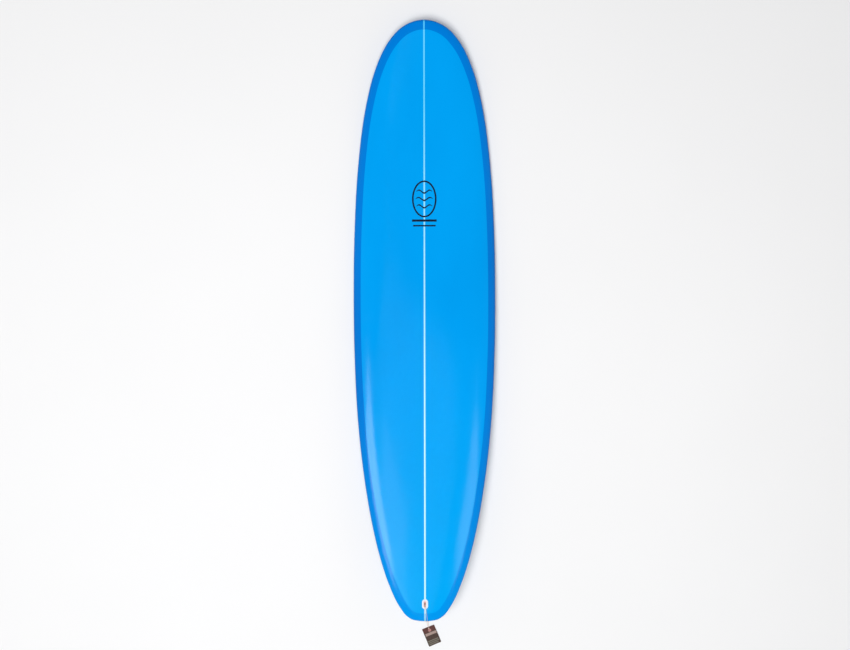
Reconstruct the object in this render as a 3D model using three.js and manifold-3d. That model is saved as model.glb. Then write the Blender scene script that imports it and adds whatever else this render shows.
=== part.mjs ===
// A mini-malibu surfboard, built up as the real one is: a shaped foam blank in two halves on a wooden
// stringer, a fibreglass laminate on the bottom that laps onto the deck, a deck laminate inside the lap,
// boxes and a leash plug let into the foam, three removable fins, and a hang tag on a loop of string.
//
// Millimetres. +X is the board's right, +Y its nose and +Z its deck. The origin is on the flat of the
// hull's bottom, on the centreline, half way along the board.

import * as THREE from 'three';
import { mergeVertices } from 'three/addons/utils/BufferGeometryUtils.js';
import Module from 'manifold-3d';

// ---- Driving dimensions ----

const GAP = 0.3; // between two pieces that touch
const ROUND_SIDES = 24; // of a cylinder

// The plan outline: [distance forward of the middle, half width].
const HALF_LENGTH = 1219;
const OUTLINE = [
  [-HALF_LENGTH, 0], [-1214, 45], [-1200, 72], [-1170, 98], [-1072, 147], [-943, 189], [-682, 242],
  [-420, 273], [-130, 288], [105, 291], [368, 287], [630, 272], [889, 236], [1016, 202], [1140, 140],
  [1186, 96], [HALF_LENGTH, 0],
];

// Rocker: the bottom is straight for ROCKER_FLAT each way from the middle, then curves up to both ends.
const ROCKER_FLAT = 180;
const NOSE_ROCKER = { rise: 120, power: 2.5 };
const TAIL_ROCKER = { rise: 64, power: 1.75 };

// Thickness along the board, from its fullest point to the ends, which are rounded off.
const FULLEST_AT = 40;
const FULL_THICKNESS = 76;
const NOSE_THICKNESS = 22;
const TAIL_THICKNESS = 24;
const THICKNESS_POWER = 2.2;
const END_ROUNDING = 14;

// The cross-section: a flat bottom, soft rails whose widest line is below half height, a crowned deck.
const RAIL_LINE = 0.42; // of the thickness, from the bottom
const BOTTOM_FLAT = 0.45; // of the half width
const BOTTOM_POWERS = [3, 2];
const DECK_POWERS = [2.8, 2];
const RINGS = 30;
const BOTTOM_STEPS = 4;
const DECK_STEPS = 6;

const LAMINATE = 1.5;
const LAP = { side: 30, nose: 40, tail: 34 }; // how far the bottom laminate laps onto the deck
const STRINGER_WIDTH = 5;

const LEASH_PLUG = {
  y: -1147, rimWidth: 24, rimLength: 40, rimThickness: 2.2, proud: 0.6,
  bodyWidth: 20, bodyLength: 36, depth: 20, cupWidth: 9, cupLength: 25, cupDepth: 16,
};
const LEASH_PIN = { diameter: 5, length: 19, below: 5.5 };

const CENTRE_BOX = {
  y: -979, length: 270, width: 27, depth: 25, slotLength: 250, slotWidth: 9.5, slotDepth: 22,
  grooveWidth: 16, grooveLength: 244, grooveFrom: 7, grooveTo: 11, entryY: 108, entryDiameter: 16,
};
const CENTRE_FIN = {
  offset: -13, depth: 120, chord: 116, rake: 88, thickness: 8, tabLength: 150, tabDepth: 20, tabThickness: 8.8,
  tongueLength: 26, tongueFrom: 3.4, tongueTo: 6.6, insideShare: 0.5,
};
const FIN_SCREW = { ahead: 88, head: 8, headFrom: 0.5, shank: 4, top: 12.5, clearance: 5 };
const FIN_PLATE = { length: 14, width: 15, from: 7.4, to: 10.6 };
const ROLL_PIN = { diameter: 3.2, length: 15, y: -58, z: 9 };

const SIDE_BOX = {
  x: 170, y: -834, toe: 2.5, cant: 6, length: 124, width: 18, depth: 19,
  slotLength: 104, slotWidth: 7, slotDepth: 16, slotOffset: -8,
};
const SIDE_FIN = {
  depth: 113, chord: 108, rake: 84, thickness: 6.6, tabLength: 103, tabDepth: 14.5, tabThickness: 6.4,
  insideShare: 0.2,
};
const GRUB_SCREW = { diameter: 4.6, length: 12, from: 2, mouthY: 56, lean: 45, hole: 5.2 };
const HEX_KEY = 2.5;

const DECAL = { y: 502, width: 100, length: 150, thickness: 0.2 };

const TAG = { x: 27.5, y: -1320, width: 55, length: 80, thickness: 1, turn: 22.5, hole: 6, holeInset: 7 };
const TAG_ABOVE_FLOOR = 0.6; // how far the tag stays above the surface that the board lies on

// The two sides of the string's loop, one from behind the plug's pin and one from above it: out of the
// plug, over the tail, down to the surface that the board lies on, and along it to the tag's hole.
const STRING_DIAMETER = 1.6;
const STRING_STEPS = 72;
const LEFT_STRING = [
  [-1.6, -1150.9, 81.9], [-1.6, -1151.7, 85.2], [-1.5, -1154.5, 88.3], [-1.3, -1160, 89.4], [-1, -1172, 89.4],
  [-0.4, -1190, 89.3], [0, -1206, 89.2], [0.2, -1214.6, 87.2], [0.3, -1220.4, 82], [0.4, -1222.4, 75],
  [0.5, -1222.9, 60], [0.7, -1223.6, 0], [0.8, -1224.6, -55], [1, -1226.6, -75], [1.6, -1231.5, -84.8],
  [2.6, -1240.5, -89], [5.6, -1257, -90.3], [10.8, -1276, -90.7], [12.9, -1283.5, -90.8],
  [13.7, -1287.6, -91], [13.9, -1289.9, -92.6],
];
const RIGHT_STRING = [
  [0.9, -1146.5, 85.6], [1.3, -1149.2, 86.1], [1.7, -1153, 88.2], [2.3, -1160, 89.4], [3.8, -1172, 89.4],
  [6.3, -1190, 89.3], [8.6, -1206, 89.2], [9.6, -1214.4, 87.1], [10, -1220.2, 82], [10.2, -1222.3, 75],
  [10.3, -1222.9, 60], [10.8, -1223.7, 0], [11.1, -1224.9, -55], [11.4, -1227.2, -75], [12, -1232.5, -84.8],
  [12.6, -1241.5, -89], [13.6, -1258, -90.2], [15, -1276, -90.7], [15.7, -1283.5, -90.8],
  [15.9, -1287.6, -91], [15.9, -1289.9, -92.6],
];

// ---- Materials ----

function plain(color, roughness, metalness = 0) {
  return new THREE.MeshStandardMaterial({ color, roughness, metalness });
}

const FOAM = plain(0xf6f5ee, 0.9);
const BARE_WOOD = plain(0xd9c39a, 0.6);
const TINTED_LAP = plain(0x0f79c8, 0.12);
const TINTED_DECK = plain(0x10a2ee, 0.12);
const WHITE_PLASTIC = plain(0xf2f2ee, 0.4);
const BLACK_PLASTIC = plain(0x17181a, 0.35);
const STEEL = plain(0xb9bcc0, 0.3, 1);
const BRASS = plain(0xb9964f, 0.35, 1);
const PRINT = plain(0x14234a, 0.5);
const TWINE = plain(0xd8c0b0, 0.9);
const TAG_CARD = plain(0x4a3a34, 0.8);

// ---- Joining and cutting solids ----

const wasm = await Module();
wasm.setup();

function toSolid(geometry) {
  const bare = new THREE.BufferGeometry();
  bare.setAttribute('position', geometry.getAttribute('position').clone());
  bare.setIndex(geometry.getIndex());
  const merged = mergeVertices(bare, 1e-3);
  const index = merged.getIndex().array;
  const triangles = [];
  for (let i = 0; i < index.length; i += 3) {
    const [a, b, c] = index.slice(i, i + 3);
    if (a !== b && b !== c && c !== a) {
      triangles.push(a, b, c);
    }
  }
  return new wasm.Manifold(new wasm.Mesh({
    numProp: 3,
    vertProperties: Float32Array.from(merged.getAttribute('position').array),
    triVerts: Uint32Array.from(triangles),
  }));
}

function toGeometry(solid) {
  const mesh = solid.getMesh();
  const geometry = new THREE.BufferGeometry();
  geometry.setAttribute('position', new THREE.BufferAttribute(mesh.vertProperties, mesh.numProp));
  geometry.setIndex(new THREE.BufferAttribute(mesh.triVerts, 1));
  return geometry;
}

function cut(geometry, ...tools) {
  return toGeometry(tools.reduce((solid, tool) => solid.subtract(toSolid(tool)), toSolid(geometry)));
}

function join(geometry, ...others) {
  return toGeometry(others.reduce((solid, other) => solid.add(toSolid(other)), toSolid(geometry)));
}

function common(geometry, other) {
  return toGeometry(toSolid(geometry).intersect(toSolid(other)));
}

// ---- Simple shapes ----

function block(xSize, ySize, zFrom, zTo, y = 0) {
  return new THREE.BoxGeometry(xSize, ySize, zTo - zFrom).translate(0, y, (zFrom + zTo) / 2);
}

// A prism with a flat shape as its plan, from zFrom up to zTo.
function prism(shape, zFrom, zTo, curveSegments = 8) {
  const options = { depth: zTo - zFrom, bevelEnabled: false, curveSegments };
  return new THREE.ExtrudeGeometry(shape, options).translate(0, 0, zFrom);
}

// An oval with straight sides and half-round ends, long along Y.
function oval(width, length) {
  const radius = width / 2;
  const straight = length / 2 - radius;
  const shape = new THREE.Shape();
  shape.absarc(0, straight, radius, 0, Math.PI);
  shape.absarc(0, -straight, radius, Math.PI, 2 * Math.PI);
  return shape;
}

function uprightCylinder(diameter, zFrom, zTo, sides = ROUND_SIDES, y = 0) {
  const radius = diameter / 2;
  const geometry = new THREE.CylinderGeometry(radius, radius, zTo - zFrom, sides).rotateX(Math.PI / 2);
  return geometry.translate(0, y, (zFrom + zTo) / 2);
}

function crosswiseCylinder(diameter, length, y, z) {
  const radius = diameter / 2;
  return new THREE.CylinderGeometry(radius, radius, length, ROUND_SIDES).rotateZ(Math.PI / 2).translate(0, y, z);
}

// A closed skin over rings with the same number of points, closed at both ends to a point.
function loft(rings, startPoint, endPoint) {
  const around = rings[0].length;
  const points = [...rings.flat(), startPoint, endPoint];
  const startIndex = points.length - 2;
  const endIndex = points.length - 1;
  const lastRing = (rings.length - 1) * around;
  const index = [];
  for (let k = 0; k < around; k += 1) {
    const next = (k + 1) % around;
    for (let ring = 0; ring < lastRing; ring += around) {
      index.push(ring + k, ring + next, ring + around + k);
      index.push(ring + next, ring + around + next, ring + around + k);
    }
    index.push(startIndex, next, k);
    index.push(endIndex, lastRing + k, lastRing + next);
  }
  const geometry = new THREE.BufferGeometry().setFromPoints(points);
  geometry.setIndex(index);
  return geometry;
}

// ---- The hull's form ----

// The value at a place on a smooth curve through points [place, value]: a cubic between each two.
function curveThrough(points, place) {
  const last = points.length - 1;
  const steepness = (i) => (points[i + 1][1] - points[i][1]) / (points[i + 1][0] - points[i][0]);
  const slopeAt = (i) => {
    if (i === 0 || i === last) {
      return steepness(Math.min(i, last - 1));
    }
    const before = points[i][0] - points[i - 1][0];
    const after = points[i + 1][0] - points[i][0];
    return (after * steepness(i - 1) + before * steepness(i)) / (before + after);
  };
  let i = 0;
  while (i < last - 1 && place > points[i + 1][0]) {
    i += 1;
  }
  const span = points[i + 1][0] - points[i][0];
  const t = (place - points[i][0]) / span;
  const ease = t * t * (3 - 2 * t);
  const rise = points[i][1] * (1 - ease) + points[i + 1][1] * ease;
  return rise + span * t * (1 - t) * (slopeAt(i) * (1 - t) - slopeAt(i + 1) * t);
}

// The square of the half width runs smoothly through the tips, which makes them round.
const SQUARED_OUTLINE = OUTLINE.map(([y, half]) => [y, half * half]);

function halfWidth(y) {
  return Math.sqrt(Math.max(curveThrough(SQUARED_OUTLINE, y), 0));
}

function bottomRise(y) {
  const rocker = y > 0 ? NOSE_ROCKER : TAIL_ROCKER;
  const beyondFlat = Math.max(Math.abs(y) - ROCKER_FLAT, 0) / (HALF_LENGTH - ROCKER_FLAT);
  return rocker.rise * beyondFlat ** rocker.power;
}

function thickness(y) {
  const end = y > FULLEST_AT ? HALF_LENGTH : -HALF_LENGTH;
  const endThickness = y > FULLEST_AT ? NOSE_THICKNESS : TAIL_THICKNESS;
  const along = (y - FULLEST_AT) / (end - FULLEST_AT);
  return endThickness + (FULL_THICKNESS - endThickness) * (1 - along ** THICKNESS_POWER);
}

function railHeight(y) {
  return bottomRise(y) + RAIL_LINE * thickness(y);
}

// 1 along the board, and falling to 0 at the very ends to round them off.
function endRounding(y) {
  const short = Math.max(1 - (HALF_LENGTH - Math.abs(y)) / END_ROUNDING, 0);
  return Math.sqrt(1 - short * short);
}

function deckHeight(y) {
  return bottomRise(y) + thickness(y);
}

// The right half of a cross-section, from the bottom's centre to the deck's.
function halfSection(y) {
  const half = halfWidth(y);
  const flat = BOTTOM_FLAT * half;
  const full = thickness(y) * endRounding(y);
  const rail = railHeight(y);
  const points = [new THREE.Vector3(0, y, rail - RAIL_LINE * full)];
  for (let i = 0; i <= BOTTOM_STEPS; i += 1) {
    const angle = (i / BOTTOM_STEPS) * Math.PI / 2;
    const x = flat + (half - flat) * Math.sin(angle) ** (2 / BOTTOM_POWERS[0]);
    const drop = RAIL_LINE * full * Math.max(Math.cos(angle), 0) ** (2 / BOTTOM_POWERS[1]);
    points.push(new THREE.Vector3(x, y, rail - drop));
  }
  for (let i = 1; i <= DECK_STEPS; i += 1) {
    const angle = (i / DECK_STEPS) * Math.PI / 2;
    const x = half * Math.max(Math.cos(angle), 0) ** (2 / DECK_POWERS[0]);
    const rise = (1 - RAIL_LINE) * full * Math.sin(angle) ** (2 / DECK_POWERS[1]);
    points.push(new THREE.Vector3(i === DECK_STEPS ? 0 : x, y, rail + rise));
  }
  return points;
}

// Stations from tail to nose, closer together towards the ends.
function stations() {
  const between = Array.from({ length: RINGS - 1 }, (_, i) => i + 1);
  return between.map((i) => -HALF_LENGTH * Math.cos((i / RINGS) * Math.PI));
}

// The hull's form, made smaller all round by inset.
function hull(inset) {
  const rings = stations().map((y) => {
    const right = halfSection(y);
    const left = right.slice(1, -1).reverse().map((p) => new THREE.Vector3(-p.x, p.y, p.z));
    return [...right, ...left].reverse();
  });
  const tail = new THREE.Vector3(0, -HALF_LENGTH, railHeight(-HALF_LENGTH));
  const nose = new THREE.Vector3(0, HALF_LENGTH, railHeight(HALF_LENGTH));
  const geometry = loft(rings, tail, nose);
  geometry.computeVertexNormals();
  const position = geometry.getAttribute('position');
  const normal = geometry.getAttribute('normal');
  const point = new THREE.Vector3();
  const outward = new THREE.Vector3();
  for (let i = 0; i < position.count; i += 1) {
    point.fromBufferAttribute(position, i);
    outward.fromBufferAttribute(normal, i);
    point.addScaledVector(outward, -inset);
    position.setXYZ(i, point.x, point.y, point.z);
  }
  return geometry;
}

// The edge of the deck laminate: the outline moved in by the lap, wider at the nose and the tail.
function lapOutline(extra) {
  const right = stations().map((y) => {
    const step = 2;
    const slope = (halfWidth(y + step) - halfWidth(y - step)) / (2 * step);
    const normal = new THREE.Vector2(1, -slope).normalize();
    const widerAtNose = (LAP.nose - LAP.side) * Math.max(y / HALF_LENGTH, 0) ** 8;
    const widerAtTail = (LAP.tail - LAP.side) * Math.max(-y / HALF_LENGTH, 0) ** 4;
    const lap = LAP.side + widerAtNose + widerAtTail + extra;
    return new THREE.Vector2(halfWidth(y), y).addScaledVector(normal, -lap);
  });
  const onDeck = right.filter((p) => p.x > 0 && Math.abs(p.y) < HALF_LENGTH - LAP.side - extra);
  const left = onDeck.map((p) => new THREE.Vector2(-p.x, p.y)).reverse();
  return new THREE.Shape([...onDeck, ...left]);
}

// Everything above the line of the rails and inside the lap's edge.
function deckRegion(extra) {
  const above = 2 * NOSE_ROCKER.rise;
  const side = stations().map((y) => new THREE.Vector2(y, railHeight(y)));
  const tail = new THREE.Vector2(-HALF_LENGTH, above);
  const nose = new THREE.Vector2(HALF_LENGTH, above);
  const width = 2.2 * halfWidth(FULLEST_AT);
  const profile = prism(new THREE.Shape([...side, nose, tail]), -width / 2, width / 2);
  profile.rotateZ(Math.PI / 2).rotateY(Math.PI / 2);
  return common(profile, prism(lapOutline(extra), 0, above));
}

// ---- The printed decal, which lies on the foam under the deck laminate ----

// A layer of the deck between two depths, oval in plan.
function decalLayer(from, to, grow) {
  const outline = new THREE.Shape();
  outline.absellipse(0, 0, DECAL.width / 2 + grow, DECAL.length / 2 + grow, 0, 2 * Math.PI);
  const column = prism(outline, FULL_THICKNESS / 2, 2 * FULL_THICKNESS, 12).translate(0, DECAL.y, 0);
  return common(cut(hull(from), hull(to)), column);
}

function deckDecal() {
  const under = LAMINATE + GAP;
  return decalLayer(under, under + DECAL.thickness, 0);
}

function decalPocket() {
  return decalLayer(0, LAMINATE + DECAL.thickness + 2 * GAP, GAP);
}

// ---- Fins ----

// A fin hanging down from z = 0: swept back, with a foil section that is widest a third of the way aft.
function finBlade(fin) {
  const heights = [0, 0.15, 0.3, 0.45, 0.6, 0.72, 0.83, 0.91, 0.96, 0.99];
  const sideSteps = 7;
  const centring = (0.5 - fin.insideShare) * fin.thickness; // keeps the base within the tab's width
  const ring = (height) => {
    const fullness = (1 - 0.75 * height) * Math.sqrt(1 - height ** 8);
    const middle = -fin.rake * height ** 1.55;
    const chord = fin.chord * fullness;
    const thick = Math.max(fin.thickness * fullness, 1);
    const at = (share, side) => {
      const swell = 2.6 * Math.sqrt(share) * (1 - share) * thick * side;
      return new THREE.Vector3(swell - centring, middle + chord * (0.5 - share), -fin.depth * height);
    };
    const shares = Array.from({ length: sideSteps - 1 }, (_, i) => {
      return (1 - Math.cos((i + 1) / sideSteps * Math.PI)) / 2;
    });
    const outside = shares.map((share) => at(share, 1 - fin.insideShare));
    const inside = shares.map((share) => at(share, -fin.insideShare)).reverse();
    return [at(0, 0), ...outside, at(1, 0), ...inside];
  };
  const tip = new THREE.Vector3(0, -fin.rake, -fin.depth);
  return loft(heights.map(ring), new THREE.Vector3(0, 0, 0), tip).translate(0, 0, -GAP);
}

function centreFin() {
  const fin = CENTRE_FIN;
  const tab = block(fin.tabThickness, fin.tabLength, -GAP - 1, fin.tabDepth);
  const tongueFront = fin.tabLength / 2 + fin.tongueLength;
  const tongue = block(fin.tabThickness, fin.tongueLength + 2, fin.tongueFrom, fin.tongueTo,
    tongueFront - (fin.tongueLength + 2) / 2);
  const screwHole = uprightCylinder(FIN_SCREW.clearance, -5, 15, ROUND_SIDES, FIN_SCREW.ahead);
  const pinHole = crosswiseCylinder(ROLL_PIN.diameter + 2 * GAP, 20, ROLL_PIN.y, ROLL_PIN.z);
  return cut(join(finBlade(fin), tab, tongue), screwHole, pinHole);
}

function sideFin(side) {
  const fin = SIDE_FIN;
  const tab = block(fin.tabThickness, fin.tabLength, -GAP - 1, fin.tabDepth);
  const solid = toSolid(join(finBlade(fin), tab).translate(0, SIDE_BOX.slotOffset, 0));
  return toGeometry(side > 0 ? solid : solid.mirror([1, 0, 0]));
}

// ---- Boxes, plug and their small parts ----

function centreBox() {
  const box = CENTRE_BOX;
  const body = prism(oval(box.width, box.length), 0, box.depth);
  const slot = prism(oval(box.slotWidth, box.slotLength), -1, box.slotDepth);
  const groove = block(box.grooveWidth, box.grooveLength, box.grooveFrom, box.grooveTo);
  const entry = uprightCylinder(box.entryDiameter, -1, box.grooveTo, ROUND_SIDES, box.entryY);
  return cut(body, slot, groove, entry);
}

function centreBoxPocket() {
  const box = CENTRE_BOX;
  return prism(oval(box.width + 2 * GAP, box.length + 2 * GAP), -20, box.depth + GAP);
}

function finScrew() {
  const screw = FIN_SCREW;
  const headTop = CENTRE_FIN.tongueFrom - GAP;
  const head = uprightCylinder(screw.head, screw.headFrom, headTop);
  const shank = uprightCylinder(screw.shank, headTop - 1, screw.top);
  const driverSlot = block(1.2, screw.head + 2, screw.headFrom - 1, screw.headFrom + 1.4);
  return cut(join(head, shank), driverSlot).translate(0, screw.ahead, 0);
}

function finPlate() {
  const plate = block(FIN_PLATE.width, FIN_PLATE.length, FIN_PLATE.from, FIN_PLATE.to);
  return cut(plate, uprightCylinder(FIN_SCREW.shank + 2 * GAP, 0, 20)).translate(0, FIN_SCREW.ahead, 0);
}

function rollPin() {
  return crosswiseCylinder(ROLL_PIN.diameter, ROLL_PIN.length, ROLL_PIN.y, ROLL_PIN.z);
}

function grubScrewPlace(geometry) {
  const lean = THREE.MathUtils.degToRad(GRUB_SCREW.lean);
  return geometry.rotateX(lean).translate(0, GRUB_SCREW.mouthY, 0);
}

function grubScrew() {
  const screw = GRUB_SCREW;
  const body = uprightCylinder(screw.diameter, screw.from, screw.from + screw.length);
  return grubScrewPlace(cut(body, uprightCylinder(HEX_KEY, 0, screw.from + HEX_KEY, 6)));
}

function sideBox() {
  const box = SIDE_BOX;
  const body = prism(oval(box.width, box.length), 0, box.depth);
  const slot = block(box.slotWidth, box.slotLength, -1, box.slotDepth, box.slotOffset);
  const hole = grubScrewPlace(uprightCylinder(GRUB_SCREW.hole, -6, 18));
  return cut(body, slot, hole);
}

function sideBoxPocket() {
  const box = SIDE_BOX;
  return prism(oval(box.width + 2 * GAP, box.length + 2 * GAP), -20, box.depth + GAP);
}

// The plug hangs down from the top of its rim, at z = 0.
function leashPlug() {
  const plug = LEASH_PLUG;
  const rim = prism(oval(plug.rimWidth, plug.rimLength), -plug.rimThickness, 0);
  const body = prism(oval(plug.bodyWidth, plug.bodyLength), -plug.depth, -1);
  const cup = prism(oval(plug.cupWidth, plug.cupLength), -plug.cupDepth, 1);
  const pinHole = crosswiseCylinder(LEASH_PIN.diameter + 2 * GAP, 40, 0, -LEASH_PIN.below);
  return cut(join(rim, body), cup, pinHole);
}

function leashPin() {
  return crosswiseCylinder(LEASH_PIN.diameter, LEASH_PIN.length, 0, -LEASH_PIN.below);
}

function leashPlugPocket() {
  const plug = LEASH_PLUG;
  const room = 2 * GAP;
  const rim = prism(oval(plug.rimWidth + room, plug.rimLength + room), -plug.rimThickness - GAP, 20);
  const body = prism(oval(plug.bodyWidth + room, plug.bodyLength + room), -plug.depth - GAP, 0);
  return join(rim, body);
}

// ---- Frames that the fittings are made in ----

function slopeOfBottom(y) {
  return (bottomRise(y + 1) - bottomRise(y - 1)) / 2;
}

function centreFinFrame() {
  const frame = new THREE.Group();
  frame.position.set(0, CENTRE_BOX.y, bottomRise(CENTRE_BOX.y));
  frame.rotation.x = Math.atan(slopeOfBottom(CENTRE_BOX.y));
  return frame;
}

// A side fin stands on the curve of the bottom near the rail, leans out and points in towards the nose.
function sideFinFrame(side) {
  const box = SIDE_BOX;
  const half = halfWidth(box.y);
  const pastFlat = (box.x - BOTTOM_FLAT * half) / (half - BOTTOM_FLAT * half);
  const level = (1 - pastFlat ** BOTTOM_POWERS[0]) ** (1 / BOTTOM_POWERS[1]);
  const curl = RAIL_LINE * thickness(box.y) * (1 - level);
  const frame = new THREE.Group();
  frame.position.set(side * box.x, box.y, bottomRise(box.y) + curl);
  frame.rotation.order = 'ZXY';
  frame.rotation.z = THREE.MathUtils.degToRad(side * box.toe);
  frame.rotation.x = Math.atan(slopeOfBottom(box.y));
  frame.rotation.y = THREE.MathUtils.degToRad(-side * box.cant);
  return frame;
}

function leashPlugFrame() {
  const frame = new THREE.Group();
  frame.position.set(0, LEASH_PLUG.y, deckHeight(LEASH_PLUG.y) + LEASH_PLUG.proud);
  return frame;
}

// The surface that the board lies on: it touches the side fins' tips and the belly ahead of the middle.
function restingSurface() {
  const frame = sideFinFrame(1);
  frame.updateMatrixWorld();
  const tip = new THREE.Vector3(0, SIDE_BOX.slotOffset - SIDE_FIN.rake, -SIDE_FIN.depth - GAP);
  tip.applyMatrix4(frame.matrixWorld);
  const slopes = stations().filter((y) => y > 0).map((y) => (bottomRise(y) - tip.z) / (y - tip.y));
  const slope = Math.min(...slopes);
  return { slope, heightAt: (y) => tip.z + slope * (y - tip.y) };
}

// ---- Hang tag and its string ----

function tagFrame(surface) {
  const frame = new THREE.Group();
  frame.position.set(TAG.x, TAG.y, surface.heightAt(TAG.y) + TAG_ABOVE_FLOOR);
  frame.rotation.x = Math.atan(surface.slope);
  frame.rotation.z = THREE.MathUtils.degToRad(TAG.turn);
  return frame;
}

function hangTag() {
  const card = block(TAG.width, TAG.length, 0, TAG.thickness);
  const hole = uprightCylinder(TAG.hole, -1, TAG.thickness + 1, ROUND_SIDES, TAG.length / 2 - TAG.holeInset);
  return cut(card, hole);
}

function stringTube(route) {
  const points = route.map((point) => new THREE.Vector3(...point));
  const path = new THREE.CatmullRomCurve3(points, false, 'centripetal');
  const section = new THREE.Shape().absarc(0, 0, STRING_DIAMETER / 2, 0, 2 * Math.PI);
  const options = { steps: STRING_STEPS, extrudePath: path, curveSegments: 4, bevelEnabled: false };
  return new THREE.ExtrudeGeometry(section, options);
}

// ---- The board ----

function add(parent, name, geometry, material) {
  const mesh = new THREE.Mesh(geometry, material);
  mesh.name = name;
  parent.add(mesh);
}

function placed(geometry, frame) {
  frame.updateMatrixWorld();
  return geometry.applyMatrix4(frame.matrixWorld);
}

const board = new THREE.Group();
const plugFrame = leashPlugFrame();
const centreFrame = centreFinFrame();
const sides = [['left', -1], ['right', 1]].map(([name, side]) => ({ name, side, frame: sideFinFrame(side) }));
const tagPlace = tagFrame(restingSurface());

const plugPocket = placed(leashPlugPocket(), plugFrame);
const bottomPockets = [
  placed(centreBoxPocket(), centreFrame),
  ...sides.map(({ frame }) => placed(sideBoxPocket(), frame)),
];
const skin = cut(hull(0), hull(LAMINATE));
add(board, 'deck_laminate', cut(common(skin, deckRegion(GAP / 2)), plugPocket), TINTED_DECK);
add(board, 'bottom_laminate', cut(skin, deckRegion(-GAP / 2), ...bottomPockets), TINTED_LAP);

const core = cut(hull(LAMINATE + GAP), plugPocket, decalPocket(), ...bottomPockets);
const longEnough = 3 * HALF_LENGTH;
const stringerSlab = block(STRINGER_WIDTH, longEnough, -FULL_THICKNESS, 4 * FULL_THICKNESS);
const stringerRoom = block(STRINGER_WIDTH + 2 * GAP, longEnough, -FULL_THICKNESS, 4 * FULL_THICKNESS);
add(board, 'stringer', common(core, stringerSlab), BARE_WOOD);
sides.forEach(({ name, side }) => {
  const half = block(4 * HALF_LENGTH, longEnough, -FULL_THICKNESS, 4 * FULL_THICKNESS);
  half.translate(side * 2 * HALF_LENGTH, 0, 0);
  add(board, `foam_blank_${name}`, common(cut(core, stringerRoom), half), FOAM);
});
add(board, 'deck_decal', deckDecal(), PRINT);

add(plugFrame, 'leash_plug', leashPlug(), WHITE_PLASTIC);
add(plugFrame, 'leash_plug_pin', leashPin(), STEEL);
board.add(plugFrame);

add(centreFrame, 'centre_fin_box', centreBox(), WHITE_PLASTIC);
const slider = new THREE.Group();
slider.position.y = CENTRE_FIN.offset;
add(slider, 'centre_fin', centreFin(), BLACK_PLASTIC);
add(slider, 'centre_fin_roll_pin', rollPin(), BRASS);
add(slider, 'centre_fin_plate', finPlate(), STEEL);
add(slider, 'centre_fin_screw', finScrew(), STEEL);
centreFrame.add(slider);
board.add(centreFrame);

sides.forEach(({ name, side, frame }) => {
  add(frame, `${name}_fin_box`, sideBox(), WHITE_PLASTIC);
  add(frame, `${name}_fin`, sideFin(side), BLACK_PLASTIC);
  add(frame, `${name}_fin_screw`, grubScrew(), STEEL);
  board.add(frame);
});

add(tagPlace, 'hang_tag', hangTag(), TAG_CARD);
board.add(tagPlace);
add(board, 'tag_string_left', stringTube(LEFT_STRING), TWINE);
add(board, 'tag_string_right', stringTube(RIGHT_STRING), TWINE);

export default board;
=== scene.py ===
import math

import bmesh
import bpy
import numpy as np
from mathutils import Matrix, Vector


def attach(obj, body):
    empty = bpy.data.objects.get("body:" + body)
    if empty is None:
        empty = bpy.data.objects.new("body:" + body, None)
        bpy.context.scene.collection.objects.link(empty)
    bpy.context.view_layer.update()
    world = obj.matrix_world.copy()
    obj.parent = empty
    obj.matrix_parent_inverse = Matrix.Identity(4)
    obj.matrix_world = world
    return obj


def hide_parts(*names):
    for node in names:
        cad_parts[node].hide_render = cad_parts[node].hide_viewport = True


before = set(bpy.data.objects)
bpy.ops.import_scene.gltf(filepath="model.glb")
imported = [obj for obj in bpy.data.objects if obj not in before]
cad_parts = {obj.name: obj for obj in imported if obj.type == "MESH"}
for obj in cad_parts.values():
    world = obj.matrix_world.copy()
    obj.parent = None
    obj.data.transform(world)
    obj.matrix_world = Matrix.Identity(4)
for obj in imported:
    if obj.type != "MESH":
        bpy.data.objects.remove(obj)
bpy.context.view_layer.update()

# ---- Dimensions of the board, in metres, as in the CAD ----

HALF_LENGTH = 1.219
OUTLINE = [
    (-HALF_LENGTH, 0), (-1.214, 0.045), (-1.2, 0.072), (-1.17, 0.098), (-1.072, 0.147), (-0.943, 0.189),
    (-0.682, 0.242), (-0.42, 0.273), (-0.13, 0.288), (0.105, 0.291), (0.368, 0.287), (0.63, 0.272),
    (0.889, 0.236), (1.016, 0.202), (1.14, 0.14), (1.186, 0.096), (HALF_LENGTH, 0),
]
ROCKER_FLAT = 0.18
NOSE_ROCKER = (0.12, 2.5)  # rise and power
TAIL_ROCKER = (0.064, 1.75)
FULLEST_AT = 0.04
FULL_THICKNESS = 0.076
NOSE_THICKNESS = 0.022
TAIL_THICKNESS = 0.024
THICKNESS_POWER = 2.2
END_ROUNDING = 0.014
RAIL_LINE = 0.42
BOTTOM_FLAT = 0.45
BOTTOM_POWER = 3
DECK_POWER = 2.8
LAMINATE = 0.0015
LAP_SIDE = 0.03
LAP_NOSE, LAP_NOSE_POWER = 0.04, 8
LAP_BACK, LAP_BACK_POWER = 0.034, 4  # at the very tail
STRINGER_SHOWS = 0.003  # half the width of the strip where the wood shows through the tint

PLUG_Y = -1.147
PLUG_RIM = (0.024, 0.04, 0.0022)  # width, length and thickness
PLUG_BODY = (0.02, 0.036, 0.02)
PLUG_CUP = (0.009, 0.025, 0.016)
PLUG_PROUD = 0.0006
PLUG_FOOT_EDGE = 0.001
PIN_BELOW = 0.0055
PIN_HOLE = (0.0056, 0.03)  # diameter and length

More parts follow.
